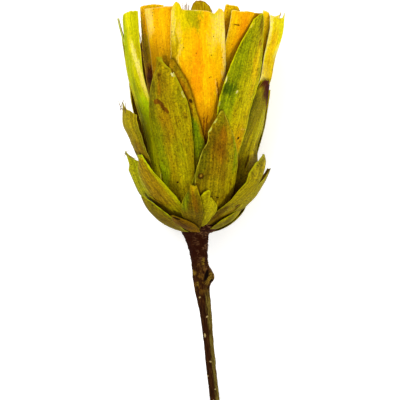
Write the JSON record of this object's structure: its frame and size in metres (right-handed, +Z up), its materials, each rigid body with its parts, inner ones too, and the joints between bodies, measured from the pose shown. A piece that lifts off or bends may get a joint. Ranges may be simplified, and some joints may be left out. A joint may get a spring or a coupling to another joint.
{
  "type": "protea flower",
  "caption": "Dried protea flower lying on its side: a cup of overlapping green and orange bracts, trimmed across the top, on a cut woody stem.",
  "frame": {"origin": "centre of the bounding box's bottom face, on the surface that the flower lies on", "axes": "+Y runs from the stem's cut end to the head's rim, +Z is up from the surface, and +X completes a right-handed set"},
  "size_m": [0.0716, 0.1876, 0.068],
  "materials": {
    "orange_bract": "dry, matte, finely ribbed",
    "yellow_bract": "dry, matte, finely ribbed",
    "green_bract": "dry, matte, leathery",
    "olive_bract": "dry, matte, leathery, blotched brown",
    "olive_scale": "dry, matte, brown at its edges",
    "bark": "rough, matte",
    "floret": "fibrous, matte"
  },
  "bodies": {
    "root": {"basal_scale_front": "olive_scale", "basal_scale_front_left": "olive_scale", "basal_scale_front_right": "green_bract", "basal_scale_left": "olive_scale", "basal_scale_right": "olive_scale", "basal_scale_under_1": "olive_scale", "basal_scale_under_2": "olive_scale", "basal_scale_under_3": "olive_scale", "basal_scale_under_4": "olive_scale", "basal_scale_under_5": "olive_scale", "basal_scale_under_6": "olive_scale", "florets": "floret", "inner_bract_front": "orange_bract", "inner_bract_left": "orange_bract", "inner_bract_right": "orange_bract", "inner_bract_under_1": "orange_bract", "inner_bract_under_2": "orange_bract", "inner_bract_under_3": "orange_bract", "inner_bract_under_4": "orange_bract", "inner_bract_under_5": "orange_bract", "lower_bract_front": "green_bract", "lower_bract_front_left": "olive_scale", "lower_bract_front_right": "green_bract", "lower_bract_left": "green_bract", "lower_bract_right": "green_bract", "lower_bract_under_1": "green_bract", "lower_bract_under_2": "green_bract", "lower_bract_under_3": "green_bract", "lower_bract_under_4": "green_bract", "lower_bract_under_5": "green_bract", "middle_bract_behind": "olive_bract", "middle_bract_front": "olive_bract", "middle_bract_front_left": "olive_bract", "middle_bract_left": "olive_bract", "middle_bract_right": "olive_bract", "middle_bract_under_1": "olive_bract", "middle_bract_under_2": "olive_bract", "middle_bract_under_3": "olive_bract", "middle_bract_under_4": "olive_bract", "middle_bract_under_5": "olive_bract", "middle_bract_under_6": "olive_bract", "narrow_bract_left": "olive_bract", "rim_bract_back": "olive_bract", "rim_bract_far_left": "yellow_bract", "rim_bract_front_right": "orange_bract", "rim_bract_left": "orange_bract", "rim_bract_pale_right": "yellow_bract", "rim_bract_right": "yellow_bract", "rim_sliver_left": "green_bract", "stem": "bark", "tall_bract_left": "yellow_bract", "tall_bract_right": "green_bract", "tall_bract_under_1": "green_bract", "tall_bract_under_2": "green_bract", "tall_bract_under_3": "green_bract", "tall_bract_under_4": "green_bract", "tall_bract_under_5": "green_bract"}
  },
  "joints": []
}
